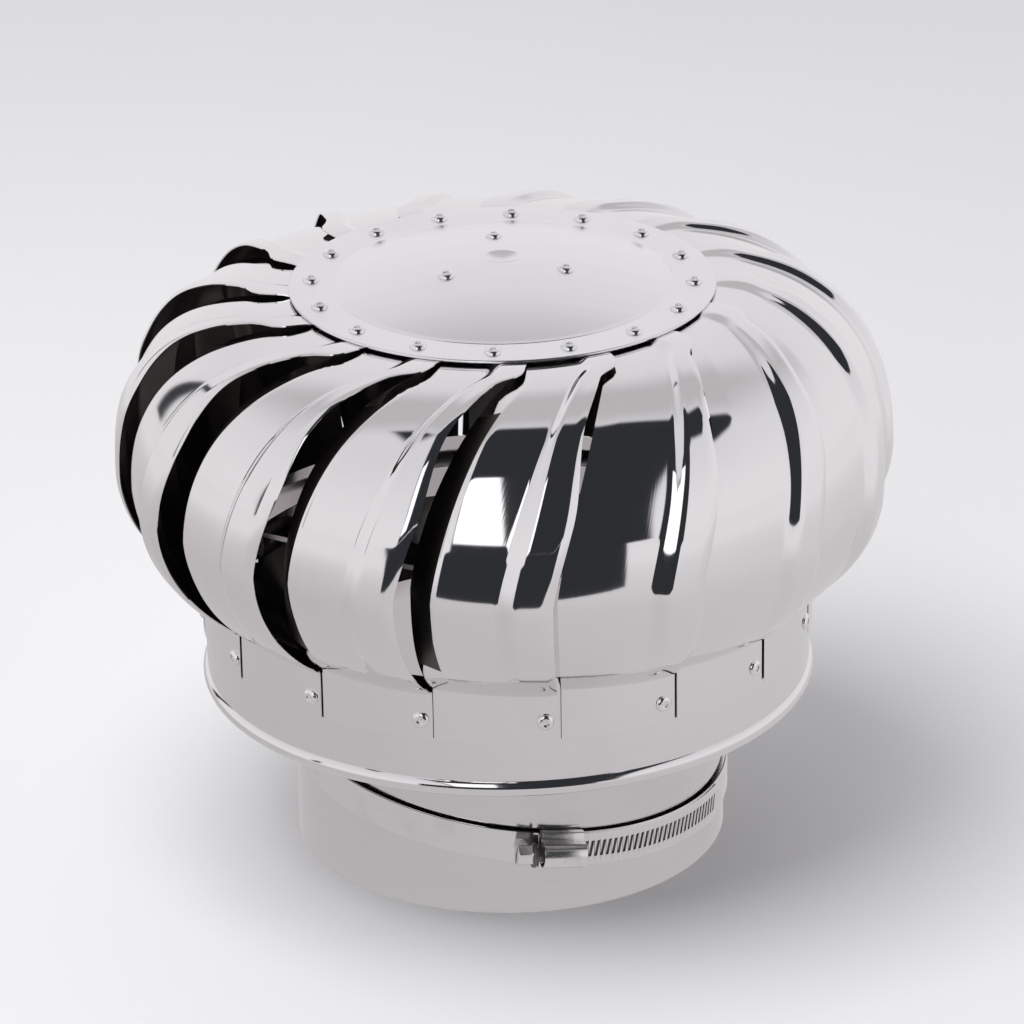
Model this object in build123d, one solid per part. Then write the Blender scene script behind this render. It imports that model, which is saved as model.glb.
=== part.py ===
import math
import os

from build123d import *

os.makedirs("parts", exist_ok=True)

# Wind-driven roof ventilator in polished stainless sheet, standing on its duct neck.
# Frame: origin at the centre of the neck's lower edge, +Z up, front towards -Y, millimetres and degrees.

# Neck and throat, the parts that stand still
neck_radius = 80.0
neck_wall = 0.6
neck_height = 66.0
throat_gap = 8.0
throat_rise = 22.0
throat_lip = 12.0

# Rotor lower ring with its rolled bead, hanging a little below the top of the neck
ring_radius = 112.0
ring_wall = 0.6
ring_drop = 3.0
ring_height = 46.0
bead_radius = 3.4
bead_proud = 1.6
bead_facets = 8

# Round shell that the vanes follow, measured from the cap and from the ring's lower edge
crown_inset = 0.9
crown_rise = 64.2
crown_power = 2.41
equator_overhang = 27.4
equator_rise = 86.4
belly_inset = 18.4
belly_depth = 52.0
belly_power = 1.77

# Vanes
vane_count = 16
vane_phase = -83.7
vane_sheet = 0.5
flap_rise = 3.4
flap_share = 0.24
crease_share = 0.38
grow_power = 0.4
main_drop = 1.2
curl_share = 0.8
vane_tuck = 11.5
tuck_power = 1.6
belly_tuck_power = 6.0
fade_turns = (105.0, 150.0)
foot_fade = 0.7
notch_angle = 3.0
notch_opens = (8.0, 13.0)
notch_closes = (70.0, 30.0)
vane_slot = 0.8
vane_lap = 3.0
vane_sweep = 33.0
apex_reach = 10.4
tab_gap = 1.7
lower_tab_rise = 22.0
lower_tab_lead = 2.1
lead_span = 60.0
vane_steps = 13
lap_clearance = 0.3
seat_clearance = 0.1

# Cap
cap_radius = 77.5
cap_wall = 0.6
rim_width = 15.7
dome_rise = 9.5
hem_width = 4.5
dome_bands = 4
dimple_radius = 8.0
dimple_depth = 1.2

# Blind rivets
rivet_head_radius = 3.1
rivet_head_height = 1.4
rivet_facets = 12
cap_rivet_inset = 8.1
cap_rivet_phase = -93.1
ring_rivet_rise = 29.6
ring_rivet_lead = 0.1
hub_rivet_count = 3
hub_rivet_circle = 25.0
hub_rivet_phase = 96.5

# Bearing hub and spindle, hung from the cap
hub_radius = 13.0
hub_drop = 64.5
hub_flange_radius = 33.0
hub_flange_wall = 2.0
hub_well_radius = 11.0
bush_radius = 8.0
bush_length = 16.0
bush_flange_radius = 10.8
bush_flange_wall = 2.0
upper_seat_drop = 12.5
spindle_radius = 5.0
spindle_tip_radius = 4.0
running_clearance = 0.05
end_float = 0.05
washer_wall = 1.5
washer_radius = 10.5
collar_height = 6.0
lock_nut_width = 13.0
lock_nut_height = 6.5

# Spider that carries the spindle in the throat
spider_drop = 1.0
spider_wall = 2.0
spider_arms = 3
spider_arm_width = 18.0
spider_hub_radius = 20.0
spider_tab_height = 10.0
spider_phase = 30.0
spindle_nut_width = 17.0
spindle_nut_height = 6.0
spindle_overhang = 4.0

# Worm-drive clamp, pulled on askew: its band lies along the neck, low at the right and at the front
clamp_height = 32.6
clamp_tilt = 7.6
clamp_nod = 3.1
clamp_forward = 0.5
band_play = 0.9
band_wall = 0.7
band_width = 12.7
band_tail_angle = 62.0
housing_angle = -77.5
housing_length = 16.0
housing_wall = 0.6
housing_slack = 0.25
slot_pitch = 2.3
slot_length = 6.4
slot_width = 1.1
slot_slant = 8.0
worm_radius = 3.9
worm_clearance = 0.08
screw_head_width = 7.0
screw_head_length = 6.0
screw_neck_length = 3.5
screw_neck_radius = 2.6

# Counts and angles that don't change with the size
full_turn = 360.0
quarter_turn = 90.0
hexagon_sides = 6
cutter_length = 4
bend_search = (100.0, 175.0)
bend_halvings = 40

# Worked-out values
pitch = full_turn / vane_count
throat_radius = ring_radius - throat_gap
ring_bottom = neck_height - ring_drop
equator_radius = ring_radius + equator_overhang
equator_height = ring_bottom + equator_rise
belly_radius = ring_radius - belly_inset
crown_radius = cap_radius - crown_inset
crown_height = equator_height + crown_rise
apex_radius = crown_radius + apex_reach
dome_radius = cap_radius - rim_width
tab_inner_radius = dome_radius + tab_gap
cap_rivet_circle = cap_radius - cap_rivet_inset
band_radius = neck_radius + band_play
throat_top = neck_height + throat_rise + throat_lip
spider_height = throat_top - spider_drop
spider_under = spider_height - spider_wall
spindle_bottom = spider_under - spindle_nut_height - spindle_overhang
lap_rise = vane_sheet + lap_clearance
cap_seat = crown_height + lap_rise + seat_clearance
rim_top = cap_seat + 2 * cap_wall
hub_bottom = cap_seat - hub_drop
upper_seat_height = cap_seat - upper_seat_drop
dome_sphere = (dome_radius**2 + dome_rise**2) / (2 * dome_rise)
dome_centre = rim_top + dome_rise - dome_sphere
widest_strip = (curl_share - crease_share) * (pitch - vane_slot)
foot_radius = (ring_radius + seat_clearance + vane_sheet) / math.cos(math.radians(widest_strip / 2))


def write(node, shape):
    export_step(shape, "parts/" + node + ".step")


def polar(radius, angle, height):
    turn = math.radians(angle)
    return Vector(radius * math.cos(turn), radius * math.sin(turn), height)


def turned(profile_points):
    # A closed outline of (radius, height) points, turned about the Z axis
    outline = Polyline(*[(r, 0, z) for r, z in profile_points], close=True)
    return revolve(make_face(outline), Axis.Z)


def ring_of(shape, count, phase=0.0):
    return [Rot(0, 0, phase + i * full_turn / count) * shape for i in range(count)]


# The shell's profile: turn 0 is the crown, 90 the equator, and 180 the bottom of the belly
def shell_point(turn):
    upper = turn <= quarter_turn
    centre = crown_radius if upper else belly_radius
    rise = crown_height - equator_height if upper else belly_depth
    power = crown_power if upper else belly_power
    reach = equator_radius - centre
    across = math.sin(math.radians(turn))
    along = abs(math.cos(math.radians(turn)))
    side = 1 if upper else -1
    radius = centre + reach * across ** (2 / power)
    height = equator_height + side * rise * along ** (2 / power)
    normal = Vector(across ** (2 - 2 / power) / reach, 0, side * along ** (2 - 2 / power) / rise)
    return radius, height, normal.normalized()


# How far a value has come from one limit to another, between 0 and 1
def progress(value, start, end):
    return min(max((value - start) / (end - start), 0.0), 1.0)


# How far a vane stands off the shell at a share of its width (0 is the free edge, 1 the tucked edge).
# The flap stands a step higher than the rest, and towards the foot the step runs out into a slope
def vane_offset(share, turn):
    fade = progress(turn, *fade_turns)
    grow = math.sin(math.radians(min(turn, quarter_turn))) ** grow_power * (1 - foot_fade * fade)
    step = 1 - progress(share, flap_share, crease_share)
    flap = (lap_rise + (flap_rise - lap_rise) * grow) * (step * (1 - fade) + (1 - share) * fade)
    drop = main_drop * grow * progress(share, crease_share, 1)
    power = tuck_power if turn < quarter_turn else belly_tuck_power
    tuck = vane_tuck * math.sin(math.radians(turn)) ** power * progress(share, curl_share, 1)
    return flap - drop - tuck


# A point of a vane: radius, angle and height. Near the crown the flap is cut back to open a notch
def vane_point(share, turn):
    radius, height, normal = shell_point(turn)
    upper = min(turn, quarter_turn) / quarter_turn
    if turn < quarter_turn:
        lead = math.degrees(math.asin(vane_sweep * (1 - upper) / max(radius, apex_radius)))
    else:
        lead = lower_tab_lead * ((turn - quarter_turn) / lead_span) ** 2
    width = pitch + vane_lap - (vane_lap + vane_slot) * upper
    notch = notch_angle * progress(turn, *notch_opens) * progress(turn, *notch_closes)
    angle = lead - share * width - notch * (1 - progress(share, 0, crease_share))
    off = vane_offset(share, turn)
    return radius + off * normal.X, angle, height + off * normal.Z


# The turn at which a vane line comes down to the ring
def foot_turn(share):
    high, low = bend_search
    for _ in range(bend_halvings):
        middle = (high + low) / 2
        if vane_point(share, middle)[0] > foot_radius:
            high = middle
        else:
            low = middle
    return high


# One line of a vane from its tab under the cap, over the shell, to its bend and its foot on the ring
def vane_line(share):
    crown = vane_point(share, 0.0)
    tab = [polar(r, *crown[1:]) for r in (tab_inner_radius, (tab_inner_radius + crown_radius) / 2)]
    last = foot_turn(share)
    body = [polar(*vane_point(share, last * i / vane_steps)) for i in range(vane_steps + 1)]
    foot = polar(foot_radius, vane_point(share, last)[1], ring_bottom + lower_tab_rise)
    return tab + body + [foot]


# The sheet's back: each point set in by the sheet along the normal found from its neighbours
def backed(lines):
    rows, columns = len(lines[0]), len(lines)
    back = []
    for c in range(columns):
        line = []
        for r in range(rows):
            along = lines[c][min(r + 1, rows - 1)] - lines[c][max(r - 1, 0)]
            across = lines[min(c + 1, columns - 1)][r] - lines[max(c - 1, 0)][r]
            line.append(lines[c][r] + along.cross(across).normalized() * vane_sheet)
        back.append(line)
    return back


# Flat facets of the bent sheet between two lines of points
def strip(one, other):
    faces = []
    for i in range(len(one) - 1):
        faces.append(Face(Wire.make_polygon([one[i], one[i + 1], other[i]])))
        faces.append(Face(Wire.make_polygon([one[i + 1], other[i + 1], other[i]])))
    return faces


# A vane is a bent strip with a flap stepped up along its free edge, a tucked inner edge, a tab and a foot
def make_vane():
    front = [vane_line(share) for share in (0.0, flap_share, crease_share, curl_share, 1.0)]
    back = backed(front)
    faces = strip(front[0], back[0]) + strip(front[-1], back[-1])
    for lines in (front, back):
        for one, other in zip(lines, lines[1:]):
            faces += strip(one, other)
    for end in (0, -1):
        faces += strip([line[end] for line in front], [line[end] for line in back])
    return Solid(Shell(faces))


# Neck: rolled tube that opens into a throat inside the rotor's ring
def make_neck():
    bore = neck_radius - neck_wall
    lip = throat_radius - neck_wall
    flare_top = neck_height + throat_rise
    step = neck_wall * math.tan(math.atan2(throat_radius - neck_radius, throat_rise) / 2)
    return turned(
        [
            (bore, 0),
            (neck_radius, 0),
            (neck_radius, neck_height),
            (throat_radius, flare_top),
            (throat_radius, throat_top),
            (lip, throat_top),
            (lip, flare_top + step),
            (bore, neck_height + step),
        ]
    )


# Lower ring: a plain band with its lower edge rolled into an open bead
def make_ring():
    inner = ring_radius - ring_wall
    middle = ring_bottom + bead_radius
    centre = ring_radius + bead_proud - bead_radius
    top = ring_bottom + ring_height
    wall = Polyline((inner, middle), (ring_radius, middle), (ring_radius, top), (inner, top), close=True)
    bead = Pos(centre, middle) * RegularPolygon(bead_radius, bead_facets)
    section = make_face(wall) + bead
    return revolve(Plane.XZ * section, Axis.Z)


# Cap: pressed dome with a flat rim, its edge hemmed under
def dome_height(radius, inset=0.0):
    return dome_centre + math.sqrt((dome_sphere - inset) ** 2 - radius**2)


def make_cap():
    under = rim_top - cap_wall
    inner_edge = math.sqrt((dome_sphere - cap_wall) ** 2 - (under - dome_centre) ** 2)
    dimple_floor = dome_height(0) - dimple_depth
    hem_edge = cap_radius - hem_width

    def dome_line(edge, inset):
        shares = [i / dome_bands for i in range(dome_bands + 1)]
        radii = [edge + (dimple_radius - edge) * share for share in shares]
        return [(r, dome_height(r, inset)) for r in radii] + [(dimple_radius / 2, dimple_floor - inset)]

    outside = [(cap_radius, cap_seat), (cap_radius, rim_top)] + dome_line(dome_radius, 0)
    inside = [(hem_edge, cap_seat), (hem_edge, under)] + dome_line(inner_edge, cap_wall)
    centre = [(0, dimple_floor), (0, dimple_floor - cap_wall)]
    return turned(outside + centre + inside[::-1])


# A set rivet is its head, standing along +Z of its own frame on the sheet at its origin
def make_rivet():
    return extrude(RegularPolygon(rivet_head_radius, rivet_facets), rivet_head_height)


# Hub rivets stand square to the dome
def hub_rivet_places():
    tilt = math.degrees(math.asin(hub_rivet_circle / dome_sphere))
    seat = Pos(hub_rivet_circle, 0, dome_height(hub_rivet_circle)) * Rot(0, tilt, 0)
    return ring_of(seat, hub_rivet_count, hub_rivet_phase)


# Hub: turned housing whose dished flange is riveted under the dome
def make_hub():
    under = cap_wall + seat_clearance
    top = dome_height(hub_well_radius, under)
    rim = dome_height(hub_flange_radius, under)
    neck_top = dome_height(hub_radius, under) - hub_flange_wall
    return turned(
        [
            (hub_well_radius, top),
            (hub_flange_radius, rim),
            (hub_flange_radius, rim - hub_flange_wall),
            (hub_radius, neck_top),
            (hub_radius, hub_bottom),
            (bush_radius, hub_bottom),
            (bush_radius, upper_seat_height),
            (hub_well_radius, upper_seat_height),
        ]
    )


# Flanged bush with its flange on the hub's end face, facing up or down
def make_bush(seat, facing):
    bore = spindle_radius + running_clearance
    flange = seat + facing * bush_flange_wall
    end = seat - facing * bush_length
    return turned(
        [
            (bore, end),
            (bush_radius, end),
            (bush_radius, seat),
            (bush_flange_radius, seat),
            (bush_flange_radius, flange),
            (bore, flange),
        ]
    )


thrust_top = hub_bottom - bush_flange_wall - end_float
collar_top = thrust_top - washer_wall
tip_seat = upper_seat_height + bush_flange_wall + end_float
nut_seat = tip_seat + washer_wall
spindle_top = nut_seat + lock_nut_height


def make_spindle():
    return turned(
        [
            (0, spindle_bottom),
            (spindle_radius, spindle_bottom),
            (spindle_radius, collar_top - collar_height),
            (washer_radius, collar_top - collar_height),
            (washer_radius, collar_top),
            (spindle_radius, collar_top),
            (spindle_radius, tip_seat),
            (spindle_tip_radius, tip_seat),
            (spindle_tip_radius, spindle_top),
            (0, spindle_top),
        ]
    )


def make_washer(bore, seat):
    return Pos(0, 0, seat) * extrude(Circle(washer_radius) - Circle(bore), washer_wall)


def make_nut(width, height, bore, seat):
    outline = RegularPolygon(width / 2, hexagon_sides, major_radius=False) - Circle(bore)
    return Pos(0, 0, seat) * extrude(outline, height)


# Spider: flat star with its arm ends turned down against the inside of the throat's lip
def make_spider():
    reach = throat_radius - neck_wall
    plate = Pos(0, 0, spider_height - spider_wall / 2)
    skirt = Pos(0, 0, spider_height - spider_tab_height / 2)
    drum = skirt * Cylinder(reach, spider_tab_height)
    arm = plate * Pos(reach / 2, 0, 0) * Box(reach, spider_arm_width, spider_wall)
    tab = skirt * Pos(reach, 0, 0) * Box(reach, spider_arm_width, spider_tab_height)
    tab -= skirt * Cylinder(reach - spider_wall, spider_tab_height)
    star = plate * Cylinder(spider_hub_radius, spider_wall)
    for piece in ring_of((arm + tab) & drum, spider_arms, spider_phase):
        star += piece
    return star - plate * Cylinder(spindle_radius, cutter_length * spider_wall)


# The band's plane leans to the right and nods forwards; its upright axis is a little ahead of the neck's
clamp_axis = Pos(0, -clamp_forward, 0)
clamp_plane = Pos(0, -clamp_forward, clamp_height) * Rot(clamp_nod, clamp_tilt, 0)
lean_right = math.tan(math.radians(clamp_tilt)) / math.cos(math.radians(clamp_nod))
lean_front = math.tan(math.radians(clamp_nod))
tail_radius = band_radius + band_wall + seat_clearance
screw_radius = tail_radius + band_wall + seat_clearance + worm_radius
housing_half = math.degrees(math.asin(housing_length / 2 / band_radius))


# Frame at an angle round the clamp: X points outwards and Y along the band, which climbs or falls there
def clamp_frame(angle):
    turn = math.radians(angle)
    height = clamp_height - band_radius * (lean_right * math.cos(turn) - lean_front * math.sin(turn))
    slope = math.degrees(math.atan(lean_right * math.sin(turn) + lean_front * math.cos(turn)))
    return clamp_axis * Rot(0, 0, angle) * Pos(0, 0, height) * Rot(slope, 0, 0)


# Part of a flat ring about the upright axis, between two angles
def ring_sector(inner, outer, width, start, sweep):
    section = Pos((inner + outer) / 2, 0) * Rectangle(outer - inner, width)
    return Rot(0, 0, start) * revolve(Plane.XZ * section, Axis.Z, revolution_arc=sweep)


# A layer of the band: upright walls round the neck, cut to the band's width along its leaning plane
def band_layer(inner, outer, start, sweep):
    tall = cutter_length * neck_height
    slab = clamp_plane * Box(cutter_length * outer, cutter_length * outer, band_width)
    return clamp_axis * ring_sector(inner, outer, tall, start, sweep) & slab


# Band: a strap once round the neck, its slotted tail lapping over itself through the housing
def make_band():
    outer = band_radius + band_wall
    start = housing_angle - housing_half
    strap = band_layer(band_radius, outer, start, full_turn)
    tail = band_layer(outer, tail_radius + band_wall, start, housing_half)
    tail += band_layer(tail_radius, tail_radius + band_wall, start, band_tail_angle)
    first = housing_angle + housing_half
    step = math.degrees(slot_pitch / tail_radius)
    count = int((start + band_tail_angle - first) / step) - 1
    cutter = Box(cutter_length * band_wall, slot_width, slot_length)
    slot = Pos(tail_radius, 0, 0) * Rot(slot_slant, 0, 0) * cutter
    for i in range(count):
        tail -= clamp_frame(first + step / 2 + i * step) * slot
    return strap + tail


# Housing: a saddle wrapped round both layers of the band, with a barrel over the worm
def make_housing():
    inner = band_radius - housing_slack - housing_wall
    width = band_width + 2 * (housing_slack + housing_wall)
    sweep = 2 * housing_half
    barrel_radius = worm_radius + worm_clearance + 2 * housing_wall
    body = ring_sector(inner, screw_radius, width, -housing_half, sweep)
    across = Pos(screw_radius, 0, 0) * Rot(quarter_turn, 0, 0)
    body += across * Cylinder(barrel_radius, housing_length)
    lid = width / 2 - barrel_radius
    past = (-housing_half - sweep, 3 * sweep)
    for side in (1, -1):
        shoulder = ring_sector(screw_radius - worm_radius + lid, 2 * screw_radius, lid, *past)
        body -= Pos(0, 0, side * (width / 2 - lid / 2)) * shoulder
    layers = 2 * band_wall + 2 * seat_clearance + housing_slack
    gap_width = band_width + 2 * housing_slack
    channel = ring_sector(band_radius - housing_slack, band_radius + layers, gap_width, *past)
    bore = across * Cylinder(worm_radius + worm_clearance, cutter_length * housing_length)
    return clamp_frame(housing_angle) * (body - channel - bore)


# Screw: worm, plain neck and hexagon head, lying along the band to the left of the housing
def make_screw():
    worm = Cylinder(worm_radius, housing_length)
    reach = -housing_length / 2 - screw_neck_length
    neck = Pos(0, 0, reach + screw_neck_length / 2) * Cylinder(screw_neck_radius, screw_neck_length)
    hexagon = RegularPolygon(screw_head_width / 2, hexagon_sides, major_radius=False)
    head = Pos(0, 0, reach - screw_head_length) * extrude(hexagon, screw_head_length)
    along_band = Pos(screw_radius, 0, 0) * Rot(-quarter_turn, 0, 0)
    return clamp_frame(housing_angle) * along_band * (worm + neck + head)


one_vane = make_vane()
for number in range(vane_count):
    write(f"vane_{number + 1:02d}", Rot(0, 0, vane_phase + number * pitch) * one_vane)

one_rivet = make_rivet()
cap_seats = ring_of(Pos(cap_rivet_circle, 0, rim_top), vane_count, cap_rivet_phase)
ring_seat = Pos(foot_radius, 0, ring_bottom + ring_rivet_rise) * Rot(0, quarter_turn, 0)
ring_seats = ring_of(ring_seat, vane_count, vane_phase + ring_rivet_lead)
write("cap_rivets", Compound([seat * one_rivet for seat in cap_seats]))
write("ring_rivets", Compound([seat * one_rivet for seat in ring_seats]))
write("hub_rivets", Compound([seat * one_rivet for seat in hub_rivet_places()]))

write("neck_collar", make_neck())
write("lower_ring", make_ring())
write("top_cap", make_cap())
write("bearing_hub", make_hub())
write("upper_bush", make_bush(upper_seat_height, 1))
write("lower_bush", make_bush(hub_bottom, -1))
write("spindle", make_spindle())
write("thrust_washer", make_washer(spindle_radius, collar_top))
write("tip_washer", make_washer(spindle_tip_radius, tip_seat))
write("lock_nut", make_nut(lock_nut_width, lock_nut_height, spindle_tip_radius, nut_seat))
write("support_spider", make_spider())
nuts = [
    make_nut(spindle_nut_width, spindle_nut_height, spindle_radius, spider_height),
    make_nut(spindle_nut_width, spindle_nut_height, spindle_radius, spider_under - spindle_nut_height),
]
write("spindle_nuts", Compound(nuts))
write("clamp_band", make_band())
write("clamp_housing", make_housing())
write("clamp_screw", make_screw())
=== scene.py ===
import math
import random

import bpy
from mathutils import Matrix, Quaternion, Vector


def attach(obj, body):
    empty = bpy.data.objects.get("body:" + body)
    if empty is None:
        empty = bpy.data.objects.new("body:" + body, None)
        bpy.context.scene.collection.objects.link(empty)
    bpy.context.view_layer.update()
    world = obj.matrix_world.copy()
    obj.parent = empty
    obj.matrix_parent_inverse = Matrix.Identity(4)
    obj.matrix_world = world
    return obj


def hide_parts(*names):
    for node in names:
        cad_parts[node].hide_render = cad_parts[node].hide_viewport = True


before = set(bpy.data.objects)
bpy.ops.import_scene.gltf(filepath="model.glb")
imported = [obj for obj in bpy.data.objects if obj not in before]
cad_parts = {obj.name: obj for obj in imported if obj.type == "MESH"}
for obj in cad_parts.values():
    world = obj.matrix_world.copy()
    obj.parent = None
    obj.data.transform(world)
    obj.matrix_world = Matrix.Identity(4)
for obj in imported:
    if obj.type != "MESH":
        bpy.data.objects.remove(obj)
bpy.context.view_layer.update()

mm = 0.001  # sizes of pieces are in mm and degrees, the studio in metres and radians
weld = 0.002 * mm  # points closer than this become one
sharp = math.radians(50)  # edges sharper than this are bevelled
print("frame loaded:", len(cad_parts), "nodes")


# shader sums: a wire is one socket of a board of nodes
class Wire:
    def __init__(self, board, socket):
        self.board = board
        self.socket = socket

    def other(self, name):  # another output of the same node
        return Wire(self.board, self.socket.node.outputs[name])

    def maths(self, operation, first, second):
        return self.board.add("ShaderNodeMath", {"operation": operation}, {0: first, 1: second})

    def __add__(self, other):
        return self.maths("ADD", self, other)

    def __radd__(self, other):
        return self.maths("ADD", other, self)

    def __sub__(self, other):
        return self.maths("SUBTRACT", self, other)

    def __rsub__(self, other):
        return self.maths("SUBTRACT", other, self)

    def __mul__(self, other):
        return self.maths("MULTIPLY", self, other)

    def __rmul__(self, other):
        return self.maths("MULTIPLY", other, self)


class Board:
    def __init__(self, tree):
        self.tree = tree
        tree.nodes.clear()

    def add(self, kind, settings, sockets, output=0):
        node = self.tree.nodes.new(kind)
        for name, value in settings.items():
            setattr(node, name, value)
        for name, value in sockets.items():
            if isinstance(value, Wire):
                self.tree.links.new(value.socket, node.inputs[name])
            else:
                node.inputs[name].default_value = value
        return Wire(self, node.outputs[output] if node.outputs else None)

    def ease(self, value, low, high):  # 0 below low, 1 above high
        sockets = {"Value": value, "From Min": low, "From Max": high}
        return self.add("ShaderNodeMapRange", {"interpolation_type": "SMOOTHSTEP"}, sockets)

    def window(self, value, low, high, soft):  # 1 between low and high
        return self.ease(value, low - soft, low + soft) * (1 - self.ease(value, high - soft, high + soft))

    def blendColours(self, share, first, second):
        return self.add("ShaderNodeMix", {"data_type": "RGBA"}, {"Factor": share, 6: first, 7: second}, 2)


# finishes: sheet and turned metal differ in grain, waves and smudges
wear = {"from": 0.5, "to": 0.72, "share": 0.5}


def makeFinish(name, look):
    finish = bpy.data.materials.new(name)
    finish.use_nodes = True
    board = Board(finish.node_tree)
    place = board.add("ShaderNodeTexCoord", {}, {}, "Object")
    along = board.add("ShaderNodeTexCoord", {}, {}, "UV") if look.get("followsSheet") else place
    lineVector = board.add("ShaderNodeMapping", {}, {"Vector": along, "Scale": look["lineScale"]})
    lines = board.add("ShaderNodeTexNoise", {}, {"Vector": lineVector, "Scale": 1.0, "Detail": 3.0})
    waves = board.add("ShaderNodeTexNoise", {}, {"Vector": place, "Scale": look["waveScale"], "Detail": 1.0})
    smudges = board.add(
        "ShaderNodeTexNoise", {}, {"Vector": place, "Scale": look["smudgeScale"], "Detail": 5.0}
    )
    worn = board.ease(smudges, wear["from"], wear["to"])
    rough = look["roughness"] + look["lineRough"] * lines + look["smudgeRough"] * worn
    mixed = worn * wear["share"] + lines * (1 - wear["share"])
    tone = board.blendColours(mixed, look["colour"], look["shade"])
    ripple = board.add(
        "ShaderNodeBump", {}, {"Strength": 1.0, "Distance": look["waveDepth"], "Height": waves}
    )
    drawn = board.add(
        "ShaderNodeBump",
        {},
        {"Strength": 1.0, "Distance": look["lineDepth"], "Height": lines, "Normal": ripple},
    )
    sheet = board.add(
        "ShaderNodeBsdfPrincipled",
        {},
        {"Base Color": tone, "Roughness": rough, "Metallic": 1.0, "Normal": drawn},
    )
    board.add("ShaderNodeOutputMaterial", {}, {"Surface": sheet})
    return finish


finishes = {
    "polished_steel": makeFinish("polishedVane", {
        "colour": (0.86, 0.845, 0.855, 1), "shade": (0.80, 0.785, 0.795, 1), "followsSheet": True,
        "lineScale": (90, 1.5, 1), "lineRough": 0.03, "lineDepth": 0.000004,
        "waveScale": 22, "waveDepth": 0.00012, "smudgeScale": 14, "roughness": 0.045, "smudgeRough": 0.05,
    }),
    # painted shade: near-black finish on the vane backs and deep curls, standing in for the dark inside of
    # the rotor
    "shaded_sheet_back": makeFinish("shadedSheetBack", {
        "colour": (0.10, 0.09, 0.085, 1), "shade": (0.07, 0.062, 0.058, 1), "followsSheet": True,
        "lineScale": (90, 1.5, 1), "lineRough": 0.1, "lineDepth": 0.000006,
        "waveScale": 22, "waveDepth": 0.00003, "smudgeScale": 14, "roughness": 0.34, "smudgeRough": 0.15,
    }),
    "cap_satin": makeFinish("satinCap", {
        "colour": (0.89, 0.875, 0.90, 1), "shade": (0.84, 0.825, 0.85, 1),
        "lineScale": (8, 300, 8), "lineRough": 0.06, "lineDepth": 0.000004,
        "waveScale": 14, "waveDepth": 0.0002, "smudgeScale": 18, "roughness": 0.2, "smudgeRough": 0.06,
    }),
    "ring_steel": makeFinish("ringSteel", {
        "colour": (0.85, 0.835, 0.845, 1), "shade": (0.79, 0.775, 0.785, 1),
        "lineScale": (6, 6, 420), "lineRough": 0.04, "lineDepth": 0.000004,
        "waveScale": 16, "waveDepth": 0.00015, "smudgeScale": 14, "roughness": 0.06, "smudgeRough": 0.06,
    }),
    "neck_steel": makeFinish("neckSteel", {
        "colour": (0.79, 0.77, 0.77, 1), "shade": (0.71, 0.685, 0.685, 1),
        "lineScale": (6, 6, 420), "lineRough": 0.06, "lineDepth": 0.000006,
        "waveScale": 15, "waveDepth": 0.0002, "smudgeScale": 16, "roughness": 0.07, "smudgeRough": 0.06,
    }),
    "rivet_steel": makeFinish("rivetSteel", {
        "colour": (0.90, 0.89, 0.90, 1), "shade": (0.78, 0.77, 0.78, 1),
        "lineScale": (400, 400, 400), "lineRough": 0.08, "lineDepth": 0.000004,
        "waveScale": 300, "waveDepth": 0.00002, "smudgeScale": 200, "roughness": 0.12, "smudgeRough": 0.1,
    }),
    "turned_steel": makeFinish("turnedSteel", {
        "colour": (0.55, 0.54, 0.54, 1), "shade": (0.42, 0.41, 0.41, 1),
        "lineScale": (20, 20, 900), "lineRough": 0.15, "lineDepth": 0.00001,
        "waveScale": 40, "waveDepth": 0.00005, "smudgeScale": 60, "roughness": 0.28, "smudgeRough": 0.1,
    }),
    "bronze": makeFinish("bushBronze", {
        "colour": (0.56, 0.38, 0.17, 1), "shade": (0.40, 0.26, 0.11, 1),
        "lineScale": (60, 60, 60), "lineRough": 0.12, "lineDepth": 0.00001,
        "waveScale": 300, "waveDepth": 0.00003, "smudgeScale": 120, "roughness": 0.38, "smudgeRough": 0.15,
    }),
    "clamp_steel": makeFinish("clampSteel", {
        "colour": (0.84, 0.83, 0.83, 1), "shade": (0.74, 0.73, 0.73, 1),
        "lineScale": (40, 40, 600), "lineRough": 0.06, "lineDepth": 0.000004,
        "waveScale": 60, "waveDepth": 0.00005, "smudgeScale": 60, "roughness": 0.08, "smudgeRough": 0.06,
    }),
    "slot_shade": makeFinish("slotShade", {
        "colour": (0.20, 0.195, 0.19, 1), "shade": (0.14, 0.135, 0.13, 1),
        "lineScale": (40, 40, 600), "lineRough": 0.1, "lineDepth": 0.000004,
        "waveScale": 60, "waveDepth": 0.00002, "smudgeScale": 60, "roughness": 0.4, "smudgeRough": 0.1,
    }),
    "screw_steel": makeFinish("screwSteel", {
        "colour": (0.86, 0.85, 0.85, 1), "shade": (0.74, 0.73, 0.73, 1),
        "lineScale": (300, 300, 300), "lineRough": 0.08, "lineDepth": 0.000004,
        "waveScale": 200, "waveDepth": 0.00002, "smudgeScale": 150, "roughness": 0.2, "smudgeRough": 0.08,
    }),
}
print("finishes ready:", len(finishes))


# modelling helpers
def clearSelection():
    bpy.ops.object.select_all(action="DESELECT")


def dress(piece, body, slot, finish, *nodes):
    if not piece.data.materials:
        piece.data.materials.append(finishes[finish])
    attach(piece, body)
    if nodes:
        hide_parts(*nodes)


def applyModifier(piece, kind, **settings):
    clearSelection()
    piece.select_set(True)
    bpy.context.view_layer.objects.active = piece
    step = piece.modifiers.new(kind, kind)
    for name, value in settings.items():
        setattr(step, name, value)
    bpy.ops.object.modifier_apply(modifier=step.name)


def arcPoints(centre, radius, start, end, count):
    turns = [math.radians(start + (end - start) * i / count) for i in range(count + 1)]
    return [(centre[0] + radius * math.cos(t), centre[1] + radius * math.sin(t)) for t in turns]


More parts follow.
